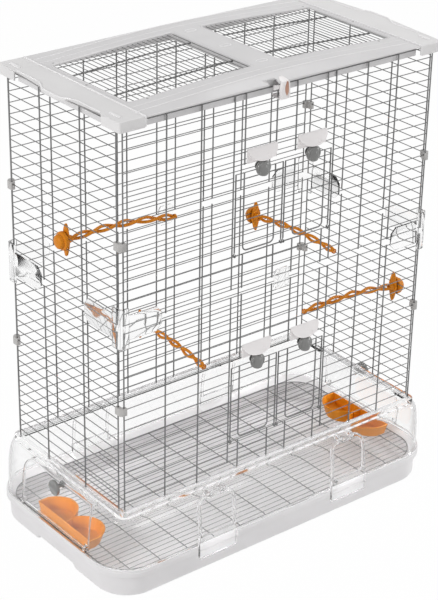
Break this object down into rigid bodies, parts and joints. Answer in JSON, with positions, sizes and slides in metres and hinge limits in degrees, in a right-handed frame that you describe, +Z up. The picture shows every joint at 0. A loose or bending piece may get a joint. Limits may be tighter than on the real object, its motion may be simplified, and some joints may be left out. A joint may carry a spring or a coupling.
{
  "type": "bird cage",
  "caption": "Tall two-level wire bird cage with a clear seed guard, frosted tray, bottom-hinged doors, end feeder hatches, seed cups and perches.",
  "frame": {"origin": "centre of the tray's underside, on the floor", "axes": "+X along the front, towards the right; +Y towards the back; +Z up"},
  "size_m": [0.78, 0.42, 0.9212],
  "materials": {
    "frosted_plastic": "frosted translucent white",
    "clear_plastic": "clear, polished",
    "wire": "grey coated wire, satin",
    "cover_plastic": "light grey, fine satin",
    "white_plastic": "white, satin",
    "knob_plastic": "grey, semi-gloss",
    "orange_plastic": "orange, semi-gloss, slightly translucent"
  },
  "bodies": {
    "cage": {"tray": "frosted_plastic", "floor_grate": "wire", "guard": "clear_plastic", "feed_cup_left": "orange_plastic", "feed_cup_right": "orange_plastic", "wall_front_lower": "wire", "wall_front_upper": "wire", "wall_back_lower": "wire", "wall_back_upper": "wire", "wall_left_lower": "wire", "wall_left_upper": "wire", "wall_right_lower": "wire", "wall_right_upper": "wire", "keeper_lower_left": "white_plastic", "keeper_lower_right": "white_plastic", "keeper_upper_left": "white_plastic", "keeper_upper_right": "white_plastic", "corner_clip_front_left_lower": "white_plastic", "corner_clip_front_left_upper": "white_plastic", "corner_clip_front_right_lower": "white_plastic", "corner_clip_front_right_upper": "white_plastic", "corner_clip_back_left_lower": "white_plastic", "corner_clip_back_left_upper": "white_plastic", "corner_clip_back_right_lower": "white_plastic", "corner_clip_back_right_upper": "white_plastic", "corner_bracket_front_left": "clear_plastic", "corner_bracket_front_right": "clear_plastic", "corner_bracket_back_left": "clear_plastic", "corner_bracket_back_right": "clear_plastic", "seam_connector_front": "clear_plastic", "seam_connector_back": "clear_plastic", "perch_1": "orange_plastic", "perch_2": "orange_plastic", "perch_3": "orange_plastic", "perch_4": "orange_plastic", "perch_nut_1": "orange_plastic", "perch_nut_2": "orange_plastic", "perch_nut_3": "orange_plastic", "perch_nut_4": "orange_plastic", "top_frame": "cover_plastic", "top_end_cap_left": "cover_plastic", "top_end_cap_right": "cover_plastic", "top_grille": "wire", "hook_clip": "white_plastic"},
    "door_lower_left": {"door_lower_left": "wire"},
    "door_knob_lower_left": {"door_knob_lower_left": "knob_plastic"},
    "door_lower_right": {"door_lower_right": "wire"},
    "door_knob_lower_right": {"door_knob_lower_right": "knob_plastic"},
    "door_upper_left": {"door_upper_left": "wire"},
    "door_knob_upper_left": {"door_knob_upper_left": "knob_plastic"},
    "door_upper_right": {"door_upper_right": "wire"},
    "door_knob_upper_right": {"door_knob_upper_right": "knob_plastic"},
    "feeder_hatch_left": {"feeder_hatch_left": "clear_plastic"},
    "hatch_knob_left": {"hatch_knob_left": "knob_plastic"},
    "feeder_hatch_right": {"feeder_hatch_right": "clear_plastic"},
    "hatch_knob_right": {"hatch_knob_right": "knob_plastic"},
    "base_latch_front_left": {"base_latch_front_left": "clear_plastic"},
    "base_latch_front_right": {"base_latch_front_right": "clear_plastic"},
    "base_latch_back_left": {"base_latch_back_left": "clear_plastic"},
    "base_latch_back_right": {"base_latch_back_right": "clear_plastic"}
  },
  "joints": [
    {"name": "door_lower_left_hinge", "type": "hinge", "parent": "cage", "child": "door_lower_left", "pos_m": [0, -0.17, 0.22795], "axis": [1, 0, 0], "range_deg": [0, 120]},
    {"name": "door_knob_lower_left_turn", "type": "hinge", "parent": "door_lower_left", "child": "door_knob_lower_left", "pos_m": [-0.0567, -0.17, 0.38605], "axis": [0, 1, 0], "range_deg": [0, 90]},
    {"name": "door_lower_right_hinge", "type": "hinge", "parent": "cage", "child": "door_lower_right", "pos_m": [0, -0.17, 0.22795], "axis": [1, 0, 0], "range_deg": [0, 120]},
    {"name": "door_knob_lower_right_turn", "type": "hinge", "parent": "door_lower_right", "child": "door_knob_lower_right", "pos_m": [0.0567, -0.17, 0.38605], "axis": [0, 1, 0], "range_deg": [0, 90]},
    {"name": "door_upper_left_hinge", "type": "hinge", "parent": "cage", "child": "door_upper_left", "pos_m": [0, -0.17, 0.60325], "axis": [1, 0, 0], "range_deg": [0, 120]},
    {"name": "door_knob_upper_left_turn", "type": "hinge", "parent": "door_upper_left", "child": "door_knob_upper_left", "pos_m": [-0.0567, -0.17, 0.76135], "axis": [0, 1, 0], "range_deg": [0, 90]},
    {"name": "door_upper_right_hinge", "type": "hinge", "parent": "cage", "child": "door_upper_right", "pos_m": [0, -0.17, 0.60325], "axis": [1, 0, 0], "range_deg": [0, 120]},
    {"name": "door_knob_upper_right_turn", "type": "hinge", "parent": "door_upper_right", "child": "door_knob_upper_right", "pos_m": [0.0567, -0.17, 0.76135], "axis": [0, 1, 0], "range_deg": [0, 90]},
    {"name": "feeder_hatch_left_hinge", "type": "hinge", "parent": "cage", "child": "feeder_hatch_left", "pos_m": [-0.3842, 0, 0.0697], "axis": [0, -1, 0], "range_deg": [0, 90]},
    {"name": "hatch_knob_left_turn", "type": "hinge", "parent": "feeder_hatch_left", "child": "hatch_knob_left", "pos_m": [-0.375, 0, 0.147], "axis": [1, 0, 0], "range_deg": [0, 90]},
    {"name": "feeder_hatch_right_hinge", "type": "hinge", "parent": "cage", "child": "feeder_hatch_right", "pos_m": [0.3842, 0, 0.0697], "axis": [0, 1, 0], "range_deg": [0, 90]},
    {"name": "hatch_knob_right_turn", "type": "hinge", "parent": "feeder_hatch_right", "child": "hatch_knob_right", "pos_m": [0.375, 0, 0.147], "axis": [1, 0, 0], "range_deg": [0, 90]},
    {"name": "base_latch_front_left_hinge", "type": "hinge", "parent": "cage", "child": "base_latch_front_left", "pos_m": [-0.161, -0.19314, 0.1545], "axis": [-1, 0, 0], "range_deg": [0, 60]},
    {"name": "base_latch_front_right_hinge", "type": "hinge", "parent": "cage", "child": "base_latch_front_right", "pos_m": [0.161, -0.19314, 0.1545], "axis": [-1, 0, 0], "range_deg": [0, 60]},
    {"name": "base_latch_back_left_hinge", "type": "hinge", "parent": "cage", "child": "base_latch_back_left", "pos_m": [-0.161, 0.19314, 0.1545], "axis": [1, 0, 0], "range_deg": [0, 60]},
    {"name": "base_latch_back_right_hinge", "type": "hinge", "parent": "cage", "child": "base_latch_back_right", "pos_m": [0.161, 0.19314, 0.1545], "axis": [1, 0, 0], "range_deg": [0, 60]}
  ]
}
